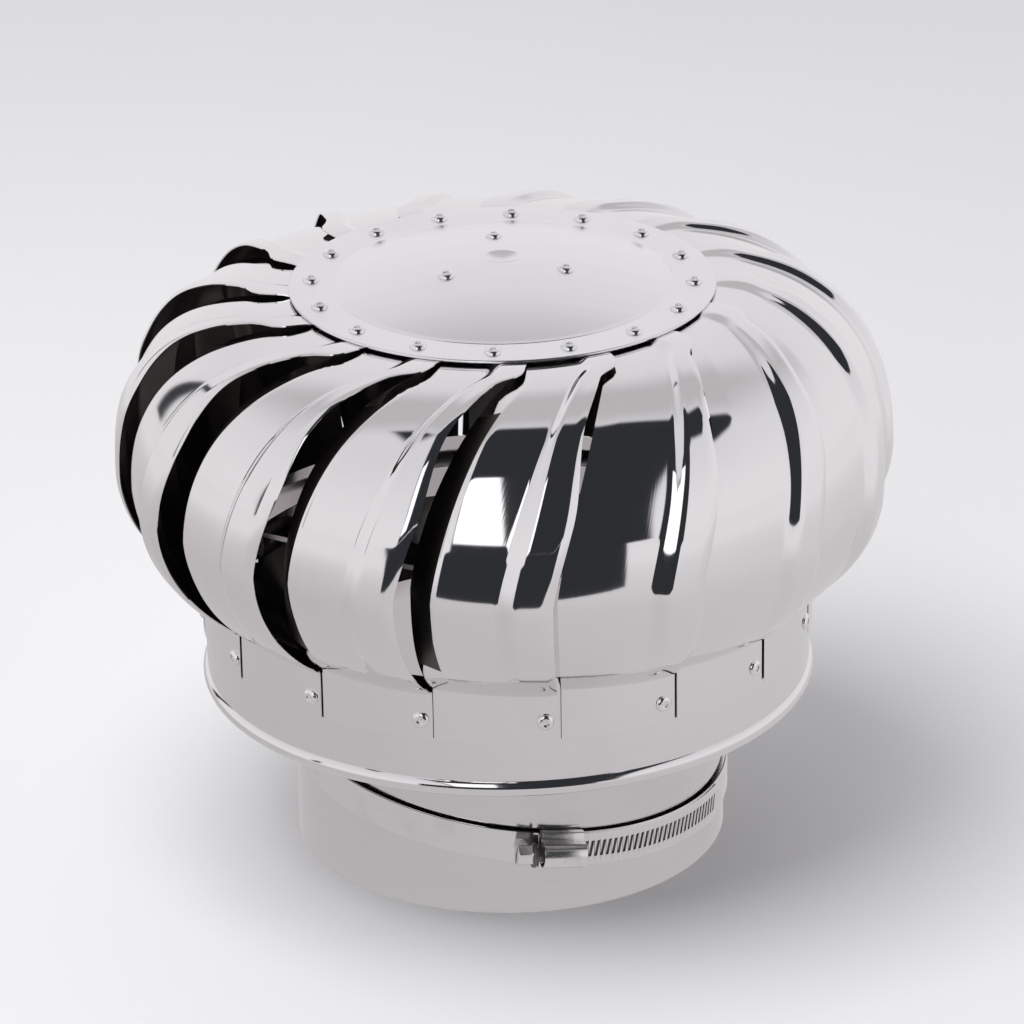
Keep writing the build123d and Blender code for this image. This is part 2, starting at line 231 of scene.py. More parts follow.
def drawLine(name, places):  # a line of edges, left in edit mode with all of it selected
    clearSelection()
    bpy.ops.mesh.primitive_plane_add(size=mm)
    piece = bpy.context.object
    piece.name = name
    piece.data.name = name
    bpy.ops.object.mode_set(mode="EDIT")
    bpy.ops.mesh.select_mode(type="VERT")
    bpy.ops.mesh.select_all(action="SELECT")
    bpy.ops.mesh.merge(type="CENTER")
    bpy.ops.transform.translate(value=places[0])
    for a, b in zip(places, places[1:]):
        bpy.ops.mesh.extrude_region_move(TRANSFORM_OT_translate={"value": b - a})
    bpy.ops.mesh.select_all(action="SELECT")
    bpy.ops.mesh.remove_doubles(threshold=weld)
    return piece


def spinProfile(name, points, steps, closed=False, smoothAngle=32):  # (radius, height) in mm, turned about Z
    places = [Vector((r * mm, 0, z * mm)) for r, z in points]
    piece = drawLine(name, places + places[:1] if closed else places)
    bpy.ops.mesh.spin(steps=steps, angle=2 * math.pi, center=(0, 0, 0), axis=(0, 0, 1))
    bpy.ops.mesh.select_all(action="SELECT")
    bpy.ops.mesh.remove_doubles(threshold=weld)
    bpy.ops.mesh.normals_make_consistent(inside=False)
    bpy.ops.object.mode_set(mode="OBJECT")
    bpy.ops.object.shade_smooth_by_angle(angle=math.radians(smoothAngle))
    return piece


def copyPiece(piece, name, place):  # a copy with its own mesh, its place put into that mesh
    clearSelection()
    piece.select_set(True)
    bpy.context.view_layer.objects.active = piece
    bpy.ops.object.duplicate()
    made = bpy.context.object
    made.name = name
    made.data.name = name
    made.matrix_world = place
    bpy.ops.object.transform_apply(location=True, rotation=True, scale=True)
    return made


def around(angle):
    return Matrix.Rotation(math.radians(angle), 4, "Z")


def joinPieces(name, pieces):
    clearSelection()
    for piece in pieces:
        piece.select_set(True)
    bpy.context.view_layer.objects.active = pieces[0]
    bpy.ops.object.join()
    pieces[0].name = name
    return pieces[0]


# vanes
vane = {
    "count": 16, "phase": -83.7, "sheet": 0.5, "tuck": 11.5, "tuckPower": 1.6, "bellyTuckPower": 6.0,
    "slot": 0.8, "lap": 3.0, "sweep": 33.0, "apexRadius": 87.0, "flapShare": 0.24, "creaseShare": 0.38,
    "flapRise": 3.4, "growPower": 0.4, "lipShare": 0.09, "lipDrop": 1.3, "mainDrop": 1.2, "curl": 0.8,
    "curlSoft": 0.01, "notch": 3.0, "notchTurns": (8, 13, 30, 70), "tabRadius": 63.5, "footRadius": 113.0,
    "footHeight": 85.0, "footLead": 2.1, "leadSpan": 60.0, "lapRise": 0.8, "columns": 61,
    "tabRows": 4, "bodyRows": 64, "footRows": 4,
    "fadeTurns": (105, 150), "footFade": 0.7, "rowPower": 1.1, "footSearch": (100.0, 175.0),
    "halvings": 40, "smoothAngle": 30, "flapWave": 0.35, "bodyWave": 0.08, "waveCounts": (2, 3, 5, 8),
    "waveSizes": (0.6, 1.0), "waveSpan": 130, "seed": 7, "holdTurns": (8, 25, 112, 132), "crownFlare": 1.5,
    "flareTurns": (10, 24, 30, 62), "flatFlanges": (2, 3, 4, 5, 6), "flatCrowns": (9, 10, 11, 12),
    # shadedFrom: tuck depth beyond which curl faces take the painted-shade finish
    "crownTurns": (40, 75), "shadedFrom": 2.5,
}
shell = {
    "crownRadius": 76.6, "crownHeight": 213.6, "crownPower": 2.41, "equatorRadius": 139.4,
    "equatorHeight": 149.4, "bellyRadius": 93.6, "bellyDepth": 52.0, "bellyPower": 1.77,
}


def shellPoint(turn):  # 0 crown, 90 equator, 180 bottom of the belly
    upper = turn <= 90
    centre = shell["crownRadius"] if upper else shell["bellyRadius"]
    rise = shell["crownHeight"] - shell["equatorHeight"] if upper else shell["bellyDepth"]
    power = shell["crownPower"] if upper else shell["bellyPower"]
    reach = shell["equatorRadius"] - centre
    across = max(math.sin(math.radians(turn)), 0)
    along = abs(math.cos(math.radians(turn)))
    side = 1 if upper else -1
    radius = centre + reach * across ** (2 / power)
    height = shell["equatorHeight"] + side * rise * along ** (2 / power)
    out = Vector((across ** (2 - 2 / power) / reach, side * along ** (2 - 2 / power) / rise)).normalized()
    return radius, height, out


def ease(value, low, high):
    step = min(max((value - low) / (high - low), 0), 1)
    return step * step * (3 - 2 * step)


def between(value, low, high, back, gone):  # rises from low to high and falls from back to gone
    return ease(value, low, high) * (1 - ease(value, back, gone))


def tuckDepth(turn):  # how far the flange goes in under the next vane
    across = max(math.sin(math.radians(turn)), 0)
    return vane["tuck"] * across ** (vane["tuckPower"] if turn < 90 else vane["bellyTuckPower"])


def tuckShare(share):  # a tight bend, then a flat flange
    past = (share - vane["curl"]) / vane["curlSoft"]
    return vane["curlSoft"] * math.log(1 + math.exp(past)) / (1 - vane["curl"])


def vaneOffset(share, turn):  # how far the sheet stands off the round shell
    across = max(math.sin(math.radians(turn)), 0)
    fade = ease(turn, *vane["fadeTurns"])  # towards the foot the step runs out into a slope
    grow = 1 - vane["footFade"] * fade if turn > 90 else across ** vane["growPower"]
    rise = vane["lapRise"] + (vane["flapRise"] - vane["lapRise"]) * grow
    step = 1 - ease(share, vane["flapShare"], vane["creaseShare"])  # the flap stands a step higher
    flap = rise * (step * (1 - fade) + (1 - share) * fade)
    lip = vane["lipDrop"] * across * max(0, 1 - share / vane["lipShare"]) ** 2
    main = vane["mainDrop"] * grow * max(0, share - vane["creaseShare"]) / (1 - vane["creaseShare"])
    return flap - lip - main - tuckDepth(turn) * tuckShare(share)


def vanePoint(share, turn):  # share 0 is the free edge and 1 the tucked one
    radius, height, out = shellPoint(turn)
    upper = min(turn, 90) / 90
    if turn < 90:
        lead = math.degrees(math.asin(vane["sweep"] * (1 - upper) / max(radius, vane["apexRadius"])))
    else:
        lead = vane["footLead"] * ((turn - 90) / vane["leadSpan"]) ** 2
    width = 360 / vane["count"] + vane["lap"] - (vane["lap"] + vane["slot"]) * upper
    free = max(0, 1 - share / vane["creaseShare"])
    cut = vane["notch"] * between(turn, *vane["notchTurns"]) * free
    off = vaneOffset(share, turn)
    return radius + off * out.x, lead - share * width - cut, height + off * out.y


def footTurn(share):
    high, low = vane["footSearch"]
    for _ in range(vane["halvings"]):
        middle = (high + low) / 2
        if vanePoint(share, middle)[0] > vane["footRadius"]:
            high = middle
        else:
            low = middle
    return high


def vaneLine(share):
    crown = vanePoint(share, 0)
    reach = crown[0] - vane["tabRadius"]
    line = [(vane["tabRadius"] + reach * i / vane["tabRows"], *crown[1:], 0) for i in range(vane["tabRows"])]
    last = footTurn(share)
    for i in range(vane["bodyRows"] + 1):
        turn = last * (i / vane["bodyRows"]) ** vane["rowPower"]
        line.append((*vanePoint(share, turn), turn))
    bend = line[-1]
    drop = vane["footHeight"] - bend[2]
    for i in range(vane["footRows"]):
        line.append((vane["footRadius"], bend[1], bend[2] + drop * (i + 1) / vane["footRows"], last))
    return line  # radius, angle, height and turn of each point


def modelVane():
    rows = vane["tabRows"] + vane["bodyRows"] + 1 + vane["footRows"]
    clearSelection()
    bpy.ops.mesh.primitive_grid_add(x_subdivisions=vane["columns"] - 1, y_subdivisions=rows - 1, size=1)
    piece = bpy.context.object
    shares = [(i / (vane["columns"] - 1)) for i in range(vane["columns"])]
    lines = [vaneLine(share) for share in shares]
    piece.data.materials.append(finishes["polished_steel"])
    # the back faces take the painted-shade finish
    piece.data.materials.append(finishes["shaded_sheet_back"])
    across = piece.data.attributes.new("across", "FLOAT", "POINT")
    turned = piece.data.attributes.new("turned", "FLOAT", "POINT")
    for point in piece.data.vertices:  # the grid runs from -0.5 to 0.5 both ways
        across.data[point.index].value = 0.5 - point.co.x
        column = round((0.5 - point.co.x) * (vane["columns"] - 1))
        row = round((0.5 - point.co.y) * (rows - 1))
        radius, angle, height, turned.data[point.index].value = lines[column][row]
        turn = math.radians(angle)
        point.co = Vector((radius * math.cos(turn), radius * math.sin(turn), height)) * mm
    bpy.context.view_layer.objects.active = piece
    bpy.ops.object.mode_set(mode="EDIT")
    bpy.ops.mesh.select_all(action="SELECT")
    bpy.ops.mesh.normals_make_consistent(inside=False)
    bpy.ops.object.mode_set(mode="OBJECT")
    piece.data.update()
    middle = piece.data.polygons[len(piece.data.polygons) // 2]
    if middle.normal.dot(Vector((middle.center.x, middle.center.y, 0))) < 0:
        piece.data.flip_normals()
    applyModifier(
        piece, "SOLIDIFY", thickness=vane["sheet"] * mm, offset=-1, use_even_offset=True, material_offset=1
    )
    bpy.ops.object.shade_smooth_by_angle(angle=math.radians(vane["smoothAngle"]))
    return piece


def bendByHand(blade, number, draw):  # no two vanes are bent alike
    waves = []
    for n in vane["waveCounts"]:
        size = draw.uniform(*vane["waveSizes"]) / n
        waves.append((size, math.tau * n / vane["waveSpan"], draw.uniform(0, math.tau)))
    skew = draw.uniform(-1, 1)
    flat = number in vane["flatFlanges"]
    shares = [item.value for item in blade.data.attributes["across"].data]
    turns = [item.value for item in blade.data.attributes["turned"].data]
    for point, share, turn in zip(blade.data.vertices, shares, turns):
        hold = between(turn, *vane["holdTurns"])  # the tab and the foot stay flat
        wave = sum(size * math.sin(rate * turn + start) for size, rate, start in waves)
        free = max(0, 1 - share / vane["creaseShare"])
        flap = vane["flapWave"] * wave * free
        flare = vane["crownFlare"] * between(turn, *vane["flareTurns"]) * free ** 2
        body = vane["bodyWave"] * math.sin(math.pi * share) * (wave + skew)
        level = 1 - ease(turn, *vane["crownTurns"]) if number in vane["flatCrowns"] else flat
        flange = level * tuckDepth(turn) * tuckShare(share)
        out = Vector((point.co.x, point.co.y, point.co.z - shell["equatorHeight"] * mm)).normalized()
        point.co += out * ((flap + body) * hold + flare + flange) * mm
    for face in blade.data.polygons:
        bent = all(shares[i] > vane["curl"] for i in face.vertices)
        deep = all(tuckDepth(turns[i]) > vane["shadedFrom"] for i in face.vertices)
        if bent and deep and not flat and number not in vane["flatCrowns"]:  # painted shade: deep curl faces take the near-black back finish
            face.material_index = 1
    for name in ("across", "turned"):
        blade.data.attributes.remove(blade.data.attributes[name])


oneVane = modelVane()
draw = random.Random(vane["seed"])
for i in range(vane["count"]):
    place = around(vane["phase"] + i * 360 / vane["count"])
    blade = copyPiece(oneVane, f"blade_{i + 1:02d}", place)
    bendByHand(blade, i + 1, draw)
    dress(blade, "rotor", "polished_steel", "polished_steel", f"vane_{i + 1:02d}")
bpy.data.objects.remove(oneVane)
print("vanes shaped:", vane["count"])


# cap
cap = {
    "radius": 77.5, "seat": 214.5, "wall": 0.6, "domeRadius": 61.8, "domeRise": 9.5, "hem": 4.5,
    "dimpleRadius": 6.6, "dimpleDepth": 1.9, "steps": 160, "domeRings": 56, "rimLoop": 70.0, "creaseOut": 0.2,
    "creaseUp": 0.15, "hemSteps": 24, "smoothAngle": 11,
}
domeSphere = (cap["domeRadius"] ** 2 + cap["domeRise"] ** 2) / (2 * cap["domeRise"])


def modelCap():
    top = cap["seat"] + 2 * cap["wall"]
    centre = top + cap["domeRise"] - domeSphere

    def dome(radius, inset):
        lift = centre + math.sqrt((domeSphere - inset) ** 2 - radius ** 2)
        return radius, lift - cap["dimpleDepth"] * max(0, 1 - (radius / cap["dimpleRadius"]) ** 2)

    rings = cap["domeRings"]
    domeRadii = [cap["domeRadius"] * (1 - i / rings) for i in range(1, rings + 1)]
    outside = [dome(r, 0) for r in domeRadii]
    inside = [dome(r, cap["wall"]) for r in reversed(domeRadii)]
    hemEdge = cap["radius"] - cap["hem"]
    under = top - cap["wall"]
    edge = arcPoints((cap["radius"] - cap["wall"], under), cap["wall"], -90, 90, cap["hemSteps"])
    points = [(hemEdge, under), (hemEdge, cap["seat"])] + edge
    points += [(cap["rimLoop"], top), (cap["domeRadius"] + cap["creaseOut"], top)]
    points += [(cap["domeRadius"], top + cap["creaseUp"])] + outside
    points += inside + [(cap["domeRadius"], under), (cap["rimLoop"], under)]
    return spinProfile("roofCap", points, cap["steps"], closed=True, smoothAngle=cap["smoothAngle"])


roofCap = modelCap()
dress(roofCap, "rotor", "polished_steel", "cap_satin", "top_cap")
print("cap shaped")


# lower ring and neck
ring = {
    "radius": 112.0, "wall": 0.6, "bottom": 63.0, "height": 46.0, "bead": 3.4, "beadProud": 1.6, "steps": 160,
    "beadSteps": 36, "wallLoops": (1.0, 0.66, 0.33, 0.05),
}
neck = {
    "radius": 80.0, "wall": 0.6, "height": 66.0, "throat": 104.0, "rise": 22.0, "lip": 12.0,
    "steps": 128, "wallLoops": 12, "edge": 0.15,
}


def modelRing():
    outer = ring["radius"]
    inner = outer - ring["wall"]
    centre = (outer + ring["beadProud"] - ring["bead"], ring["bottom"] + ring["bead"])
    top = ring["bottom"] + ring["height"]
    first = math.degrees(math.acos((outer - centre[0]) / ring["bead"]))
    last = math.degrees(math.acos((inner - centre[0]) / ring["bead"])) - 360
    rounds = arcPoints(centre, ring["bead"], first, last, ring["beadSteps"])
    walls = [(outer, rounds[0][1] + (top - rounds[0][1]) * share) for share in ring["wallLoops"]]
    return spinProfile("rolledRing", [(inner, top)] + walls + rounds, ring["steps"], closed=True)


def modelNeck():
    outer, wall, edge, loops = neck["radius"], neck["wall"], neck["edge"], neck["wallLoops"]
    flareTop = neck["height"] + neck["rise"]
    lipTop = flareTop + neck["lip"]
    slope = math.atan2(neck["throat"] - outer, neck["rise"])
    step = wall * math.tan(slope / 2)
    outside = [(outer, edge)] + [(outer, neck["height"] * i / loops) for i in range(1, loops + 1)]
    outside += [(neck["throat"], flareTop), (neck["throat"], lipTop)]
    bore = outer - wall
    throat = neck["throat"] - wall
    inside = [(throat, lipTop), (throat, flareTop + step), (bore, neck["height"] + step)]
    points = [(outer - edge, 0)] + outside + inside + [(bore, edge), (bore + edge, 0)]
    return spinProfile("ductNeck", points, neck["steps"], closed=True)


rolledRing = modelRing()
dress(rolledRing, "rotor", "polished_steel", "ring_steel", "lower_ring")
ductNeck = modelNeck()
dress(ductNeck, "base", "neck_steel", "neck_steel", "neck_collar")
print("ring and neck turned")


# blind rivets
rivet = {
    "steps": 20, "capCircle": 69.4, "capPhase": -93.1, "capHeight": 215.7, "ringHeight": 92.6,
    "ringLead": 0.1, "hubCircle": 25.0, "hubPhase": 96.5, "hubCount": 3,
    "profile": [
        (0, 0.9), (0.7, 0.9), (0.8, 0.7), (1.05, 0.7), (1.15, 1.25), (1.4, 1.4), (1.9, 1.33),
        (2.5, 1.05), (2.95, 0.6), (3.1, 0.2), (3.1, 0.0),
    ],
}
oneRivet = spinProfile("oneRivet", rivet["profile"], rivet["steps"], smoothAngle=40)


def setRivets(name, node, places):
    heads = [copyPiece(oneRivet, f"{name}_{i}", place) for i, place in enumerate(places)]
    dress(joinPieces(name, heads), "rotor", "rivet_steel", "rivet_steel", node)


step = 360 / vane["count"]
onCap = Matrix.Translation((rivet["capCircle"] * mm, 0, rivet["capHeight"] * mm))
places = [around(rivet["capPhase"] + i * step) @ onCap for i in range(vane["count"])]
setRivets("capRivets", "cap_rivets", places)
outwards = Matrix.Rotation(math.radians(90), 4, "Y")
onRing = Matrix.Translation((vane["footRadius"] * mm, 0, rivet["ringHeight"] * mm)) @ outwards
first = vane["phase"] + rivet["ringLead"]
setRivets("ringRivets", "ring_rivets", [around(first + i * step) @ onRing for i in range(vane["count"])])
domeTop = cap["seat"] + 2 * cap["wall"] + cap["domeRise"]
lift = domeTop - domeSphere + math.sqrt(domeSphere ** 2 - rivet["hubCircle"] ** 2)
lean = Matrix.Rotation(math.asin(rivet["hubCircle"] / domeSphere), 4, "Y")
onDome = Matrix.Translation((rivet["hubCircle"] * mm, 0, lift * mm)) @ lean
turns = [rivet["hubPhase"] + i * 360 / rivet["hubCount"] for i in range(rivet["hubCount"])]
setRivets("hubRivets", "hub_rivets", [around(turn) @ onDome for turn in turns])
bpy.data.objects.remove(oneRivet)
print("rivets set")


# worm-drive clamp, modelled level and then laid askew along the neck
clamp = {
    "height": 32.6, "tilt": 7.6, "nod": 3.1, "forward": 0.5, "radius": 80.9, "wall": 0.7, "width": 12.7,
    "edge": 0.15, "steps": 160, "seat": 0.1, "tailSweep": 62.0, "plainCells": 4,
    "slotPitch": 2.3, "slotLength": 6.2, "slotWidth": 1.05, "slotSlant": 13.0, "housingAngle": -77.5,
    "endMargin": 4.0, "endRound": 0.7, "tailEdge": 0.07, "smoothAngle": 25,
}
housing = {
    "length": 16.0, "sheet": 0.6, "halfWidth": 7.1, "footIn": 3.0, "bottom": 80.05, "shoulder": 83.2,
    "barrel": 4.7, "wrap": 128, "barrelSteps": 24, "footBend": 0.4, "shoulderBend": 0.7, "shoulderRound": 0.2,
    "edge": 0.22, "smoothAngle": 35,
}
screw = {
    "wormRadius": 3.9, "wormCore": 3.0, "pitch": 2.3, "neckLength": 3.5, "neckRadius": 2.6, "headWidth": 7.0,
    "headLength": 6.0, "headEdge": 0.5, "slotWidth": 1.2, "slotDepth": 1.6, "collarRadius": 4.6,
    "collarWall": 1.1, "toothShares": (0, 0.25, 0.4, 0.7, 0.85, 1),
    "collarEdge": 0.3, "overlap": 0.6, "spareTurns": 3, "weld": 0.01, "steps": 40, "smoothAngle": 35,
}
tailRadius = clamp["radius"] + clamp["wall"] + clamp["seat"]
screwRadius = tailRadius + clamp["wall"] + clamp["seat"] + screw["wormRadius"]
leanRight = math.tan(math.radians(clamp["tilt"])) / math.cos(math.radians(clamp["nod"]))
leanFront = math.tan(math.radians(clamp["nod"]))
ahead, lift = -clamp["forward"] * mm, clamp["height"] * mm
askew = Matrix(((1, 0, 0, 0), (0, 1, 0, ahead), (-leanRight, leanFront, 1, lift), (0, 0, 0, 1)))
turn = math.radians(clamp["housingAngle"])
sink = clamp["radius"] * mm * (leanRight * math.cos(turn) - leanFront * math.sin(turn))
climb = math.atan(leanRight * math.sin(turn) + leanFront * math.cos(turn))
atHousing = Matrix.Translation((0, ahead, lift - sink)) @ around(clamp["housingAngle"])
atHousing = atHousing @ Matrix.Rotation(climb, 4, "X")
tailStart = turn - math.asin(housing["length"] / 2 / clamp["radius"])


def placePiece(piece, place):  # puts the place into the mesh
    clearSelection()
    piece.select_set(True)
    bpy.context.view_layer.objects.active = piece
    piece.matrix_world = place
    bpy.ops.object.transform_apply(location=True, rotation=True, scale=True)


def modelStrap():
    inner, half, edge = clamp["radius"], clamp["width"] / 2, clamp["edge"]
    outer = inner + clamp["wall"]
    right = [(inner, -half + edge), (inner + edge, -half), (outer - edge, -half), (outer, -half + edge)]
    left = [(outer, half - edge), (outer - edge, half), (inner + edge, half), (inner, half - edge)]
    strap = spinProfile("strap", right + left, clamp["steps"], closed=True, smoothAngle=clamp["smoothAngle"])
    strap.data.materials.append(finishes["clamp_steel"])
    strap.data.materials.append(finishes["slot_shade"])
    first = tailStart + (clamp["plainCells"] + 1) * clamp["slotPitch"] / tailRadius
    last = tailStart + math.radians(clamp["tailSweep"] - clamp["endMargin"])
    for face in strap.data.polygons:  # dark under the slots
        turn = math.atan2(face.center.y, face.center.x)
        outside = Vector(face.center.xy).length > (outer - edge) * mm
        upright = abs(face.normal.z) < 0.1
        if outside and upright and first < turn < last:
            face.material_index = 1
    return strap


def modelTail():  # a slotted strip, wrapped round over the strap
    cells = int(math.radians(clamp["tailSweep"]) * tailRadius / clamp["slotPitch"])
    clearSelection()
    bpy.ops.mesh.primitive_grid_add(x_subdivisions=3 * cells, y_subdivisions=3, size=1)
    tail = bpy.context.object
    bpy.ops.object.mode_set(mode="EDIT")
    bpy.ops.mesh.select_mode(type="FACE")
    bpy.ops.mesh.select_all(action="DESELECT")
    bpy.ops.object.mode_set(mode="OBJECT")
    for face in tail.data.polygons:  # the middle of each cell is punched out
        cell, part = divmod(int((face.center.x + 0.5) * 3 * cells), 3)
        middle = part == 1 and abs(face.center.y) < 1 / 6
        face.select = middle and clamp["plainCells"] <= cell < cells - 1
    bpy.ops.object.mode_set(mode="EDIT")
    bpy.ops.mesh.delete(type="FACE")
    bpy.ops.object.mode_set(mode="OBJECT")
    solid = (clamp["slotPitch"] - clamp["slotWidth"]) / 2
    starts = (0, solid, solid + clamp["slotWidth"])
    half, reach = clamp["width"] / 2, clamp["slotLength"] / 2
    for point in tail.data.vertices:
        cell, part = divmod(round((point.co.x + 0.5) * 3 * cells), 3)
        row = round((point.co.y + 0.5) * 3)
        height = (-half, -reach, reach, half)[row]
        along = cell * clamp["slotPitch"] + starts[part]
        if part and row in (1, 2):
            along += height * math.tan(math.radians(clamp["slotSlant"]))
        if cell == cells and row in (0, 3):  # rounded end
            height *= clamp["endRound"]
        turn = tailStart + along / tailRadius
        point.co = Vector((tailRadius * math.cos(turn), tailRadius * math.sin(turn), height)) * mm
    tail.data.update()
    if tail.data.polygons[0].normal.dot(tail.data.polygons[0].center) < 0:
        tail.data.flip_normals()
    applyModifier(tail, "SOLIDIFY", thickness=clamp["wall"] * mm, offset=1)
    applyModifier(
        tail, "BEVEL", width=clamp["tailEdge"] * mm, segments=1, limit_method="ANGLE", angle_limit=sharp
    )
    bpy.ops.object.shade_smooth_by_angle(angle=math.radians(clamp["smoothAngle"]))
    tail.data.materials.append(finishes["clamp_steel"])
    return tail


def modelHousing():  # one bent sheet: feet under the band, shoulders, and a barrel over the worm
    half, bottom, shoulder = housing["halfWidth"], housing["bottom"], housing["shoulder"]
    low, high, soft = housing["footBend"], housing["shoulderBend"], housing["shoulderRound"]
    foot = [(bottom, half - housing["footIn"]), (bottom, half - low), (bottom + low, half)]
    side = foot + [(shoulder - high, half), (shoulder - soft, half - soft), (shoulder, half - high)]
    wrap = housing["wrap"]
    barrel = arcPoints((screwRadius, 0), housing["barrel"], wrap, -wrap, housing["barrelSteps"])
    outline = side + barrel + [(r, -z) for r, z in reversed(side)]
    places = [Vector((r * mm, -housing["length"] * mm / 2, z * mm)) for r, z in outline]
    saddle = drawLine("clampHousing", places)
    bpy.ops.mesh.extrude_region_move(TRANSFORM_OT_translate={"value": (0, housing["length"] * mm, 0)})
    bpy.ops.object.mode_set(mode="OBJECT")
    top = max(saddle.data.polygons, key=lambda face: face.center.x)
    if top.normal.x < 0:
        saddle.data.flip_normals()
    saddle.data.materials.append(finishes["screw_steel"])
    saddle.data.materials.append(finishes["slot_shade"])
    applyModifier(
        saddle, "SOLIDIFY", thickness=housing["sheet"] * mm, offset=-1, use_even_offset=True,
        material_offset=1, material_offset_rim=1,
    )
    applyModifier(
        saddle, "BEVEL", width=housing["edge"] * mm, segments=2, limit_method="ANGLE", angle_limit=sharp
    )
    bpy.ops.object.shade_smooth_by_angle(angle=math.radians(housing["smoothAngle"]))
    return saddle


def modelHead():  # hexagon with a driver slot, its face towards -Z
    reach = housing["length"] / 2 + screw["neckLength"]
    corner = screw["headWidth"] / 2 / math.cos(math.radians(30))
    middle = (0, 0, -(reach + screw["headLength"] / 2) * mm)
    clearSelection()
    depth = screw["headLength"] * mm
    bpy.ops.mesh.primitive_cylinder_add(vertices=6, radius=corner * mm, depth=depth, location=middle)
    head = bpy.context.object
    bpy.ops.object.transform_apply(location=True)
    edge = screw["headEdge"] * mm
    applyModifier(head, "BEVEL", width=edge, segments=3, limit_method="ANGLE", angle_limit=sharp)
    face = -(reach + screw["headLength"]) * mm
    bpy.ops.object.mode_set(mode="EDIT")
    for side in (-1, 1):
        bpy.ops.mesh.select_all(action="SELECT")
        cut = (side * screw["slotWidth"] / 2 * mm, 0, 0)
        bpy.ops.mesh.bisect(plane_co=cut, plane_no=(1, 0, 0))
    bpy.ops.mesh.select_mode(type="FACE")
    bpy.ops.mesh.select_all(action="DESELECT")
    bpy.ops.object.mode_set(mode="OBJECT")
    for flat in head.data.polygons:
        onFace = abs(flat.center.z - face) < screw["weld"] * mm
        flat.select = onFace and abs(flat.center.x) < screw["slotWidth"] / 4 * mm
    bpy.ops.object.mode_set(mode="EDIT")
    bpy.ops.mesh.extrude_region_move(TRANSFORM_OT_translate={"value": (0, 0, screw["slotDepth"] * mm)})
    bpy.ops.mesh.select_all(action="SELECT")
    bpy.ops.mesh.normals_make_consistent(inside=False)
    bpy.ops.object.mode_set(mode="OBJECT")
    bpy.ops.object.shade_smooth_by_angle(angle=math.radians(screw["smoothAngle"]))
    head.data.materials.append(finishes["screw_steel"])
    return head


def modelShank():  # collar and plain neck between the head and the worm
    end = -housing["length"] / 2
    back = end - screw["neckLength"]
    rim, wall, neckRadius = screw["collarRadius"], screw["collarWall"], screw["neckRadius"]
    edge, inside = screw["collarEdge"], end + screw["overlap"]
    outline = [(0, back - edge), (rim - edge, back - edge), (rim, back), (rim, back + wall - edge)]
    outline += [(rim - edge, back + wall), (neckRadius, back + wall), (neckRadius, inside), (0, inside)]
    shank = spinProfile("shank", outline, screw["steps"], smoothAngle=30)
    shank.data.materials.append(finishes["slot_shade"])
    return shank


def modelWorm():
    core, crest, pitch = screw["wormCore"], screw["wormRadius"], screw["pitch"]
    length = housing["length"]
    turns = int(length / pitch) + screw["spareTurns"]
    start = -(turns * pitch) / 2
    tooth = zip((core, core, crest, crest, core, core), screw["toothShares"])
    places = [Vector((r * mm, 0, (start + share * pitch) * mm)) for r, share in tooth]
    worm = drawLine("worm", places)
    bpy.ops.object.mode_set(mode="OBJECT")
    applyModifier(
        worm, "SCREW", axis="Z", angle=math.tau, screw_offset=pitch * mm, iterations=turns - 1,
        steps=screw["steps"], render_steps=screw["steps"], use_merge_vertices=True,
        merge_threshold=screw["weld"] * mm,
    )
    bpy.ops.object.mode_set(mode="EDIT")
    bpy.ops.mesh.select_all(action="SELECT")
    bpy.ops.mesh.remove_doubles(threshold=screw["weld"] * mm)
    for end in (-1, 1):
        bpy.ops.mesh.select_all(action="SELECT")
        cut = (0, 0, end * length / 2 * mm)
        bpy.ops.mesh.bisect(plane_co=cut, plane_no=(0, 0, end), use_fill=True, clear_outer=True)
    bpy.ops.mesh.select_all(action="SELECT")
    bpy.ops.mesh.normals_make_consistent(inside=False)
    bpy.ops.object.mode_set(mode="OBJECT")
    bpy.ops.object.shade_smooth_by_angle(angle=math.radians(screw["smoothAngle"]))
    worm.data.materials.append(finishes["turned_steel"])
    return worm


clampBand = joinPieces("clampBand", [modelStrap(), modelTail()])
clampBand.data.transform(askew)
dress(clampBand, "base", "clamp_steel", "clamp_steel", "clamp_band")
clampHousing = modelHousing()
placePiece(clampHousing, atHousing)
dress(clampHousing, "base", "clamp_steel", "screw_steel", "clamp_housing")
clampScrew = joinPieces("clampScrew", [modelHead(), modelShank(), modelWorm()])
onWorm = Matrix.Translation((screwRadius * mm, 0, 0)) @ Matrix.Rotation(math.radians(-90), 4, "X")
placePiece(clampScrew, atHousing @ onWorm)
dress(clampScrew, "screw", "screw_steel", "screw_steel", "clamp_screw")
print("clamp fitted")


# hidden parts keep their solids
hidden = {
    "turned_steel": ["bearing_hub", "spindle", "thrust_washer", "tip_washer", "lock_nut", "spindle_nuts"],
    "bronze": ["upper_bush", "lower_bush"],
    "neck_steel": ["support_spider"],
}
for finish, nodes in hidden.items():
    for node in nodes:
        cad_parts[node].data.materials.clear()
        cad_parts[node].data.materials.append(finishes[finish])
print("solids dressed")


